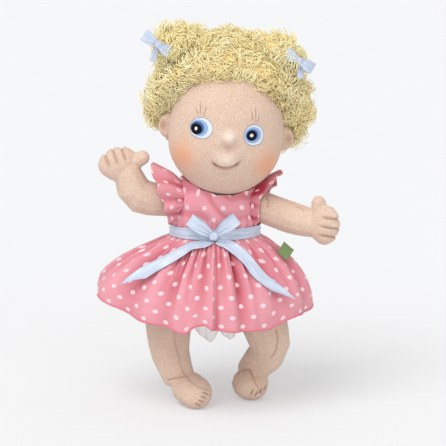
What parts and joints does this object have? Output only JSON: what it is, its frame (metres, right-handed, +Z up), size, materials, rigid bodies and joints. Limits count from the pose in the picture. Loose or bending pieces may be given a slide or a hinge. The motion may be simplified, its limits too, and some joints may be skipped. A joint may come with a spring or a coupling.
{
  "type": "cloth doll",
  "caption": "Soft stuffed cloth doll with curly yarn hair in two bunches, embroidered face, dotted dress with a ribbon bow, and sewn joints at neck, shoulders and hips.",
  "frame": {"origin": "middle of the box's foot: on the floor, under the middle of the doll's extents in X and Y", "axes": "+Z up, the doll faces -Y and its own left side is +X"},
  "size_m": [0.2054, 0.1352, 0.3281],
  "materials": {
    "skin_jersey": "napped cotton jersey",
    "sewing_thread": "matt thread",
    "looped_yarn": "looped mohair-like yarn",
    "dotted_cotton": "woven cotton with pale dots",
    "satin_ribbon": "satin",
    "woven_label": "plain woven tape",
    "closure_tape": "hook-and-loop tape",
    "white_cotton": "woven cotton",
    "white_elastic": "knitted elastic",
    "white_embroidery": "satin stitch",
    "blue_embroidery": "satin stitch",
    "black_embroidery": "satin stitch"
  },
  "bodies": {
    "trunk": {"torso": "skin_jersey", "bodice": "dotted_cotton", "right_sleeve": "dotted_cotton", "left_sleeve": "dotted_cotton", "skirt": "dotted_cotton", "waist_ribbon": "satin_ribbon", "bow_knot": "satin_ribbon", "right_bow_loop": "satin_ribbon", "left_bow_loop": "satin_ribbon", "right_bow_tail": "satin_ribbon", "left_bow_tail": "satin_ribbon", "woven_label": "woven_label", "back_closure": "closure_tape", "bloomers": "white_cotton", "bloomers_elastic": "white_elastic"},
    "neck_column": {"neck": "skin_jersey"},
    "head_group": {"head": "skin_jersey", "right_ear": "skin_jersey", "left_ear": "skin_jersey", "right_eye_white": "white_embroidery", "right_iris": "blue_embroidery", "right_pupil": "black_embroidery", "right_catchlight": "white_embroidery", "left_eye_white": "white_embroidery", "left_iris": "blue_embroidery", "left_pupil": "black_embroidery", "left_catchlight": "white_embroidery", "hair": "looped_yarn", "right_hair_bunch": "looped_yarn", "left_hair_bunch": "looped_yarn", "right_hair_bow": "satin_ribbon", "left_hair_bow": "satin_ribbon"},
    "right_shoulder": {"right_shoulder_seam": "sewing_thread"},
    "left_shoulder": {"left_shoulder_seam": "sewing_thread"},
    "right_arm_group": {"right_arm": "skin_jersey"},
    "left_arm_group": {"left_arm": "skin_jersey"},
    "right_leg_group": {"right_leg": "skin_jersey"},
    "left_leg_group": {"left_leg": "skin_jersey"}
  },
  "joints": [
    {"name": "neck_nod", "type": "hinge", "parent": "trunk", "child": "neck_column", "pos_m": [-0.00016, 0.00148, 0.18193], "axis": [0.9936, 0, -0.1132], "range_deg": [-12, 4]},
    {"name": "head_turn", "type": "hinge", "parent": "neck_column", "child": "head_group", "pos_m": [-0.00016, 0.00148, 0.18193], "axis": [0.1132, 0, 0.9936], "range_deg": [-40, 40]},
    {"name": "right_shoulder_raise", "type": "hinge", "parent": "trunk", "child": "right_shoulder", "pos_m": [-0.03917, 0.00148, 0.1755], "axis": [0, 1, 0], "range_deg": [-35, 4], "deforming": ["right_sleeve", "right_shoulder_seam"]},
    {"name": "right_shoulder_swing", "type": "hinge", "parent": "right_shoulder", "child": "right_arm_group", "pos_m": [-0.03917, 0.00148, 0.1755], "axis": [0, 0, 1], "range_deg": [-15, 25], "deforming": ["right_sleeve", "right_shoulder_seam"]},
    {"name": "left_shoulder_raise", "type": "hinge", "parent": "trunk", "child": "left_shoulder", "pos_m": [0.03766, 0.00148, 0.1704], "axis": [0, -1, 0], "range_deg": [-6, 45], "deforming": ["left_sleeve", "left_shoulder_seam"]},
    {"name": "left_shoulder_swing", "type": "hinge", "parent": "left_shoulder", "child": "left_arm_group", "pos_m": [0.03766, 0.00148, 0.1704], "axis": [0, 0, -1], "range_deg": [-25, 12], "deforming": ["left_sleeve", "left_shoulder_seam"]},
    {"name": "right_hip", "type": "hinge", "parent": "trunk", "child": "right_leg_group", "pos_m": [-0.04222, 0.00148, 0.078], "axis": [1, 0, 0], "range_deg": [-50, 30]},
    {"name": "left_hip", "type": "hinge", "parent": "trunk", "child": "left_leg_group", "pos_m": [0.03778, 0.00148, 0.078], "axis": [1, 0, 0], "range_deg": [-50, 30]}
  ]
}
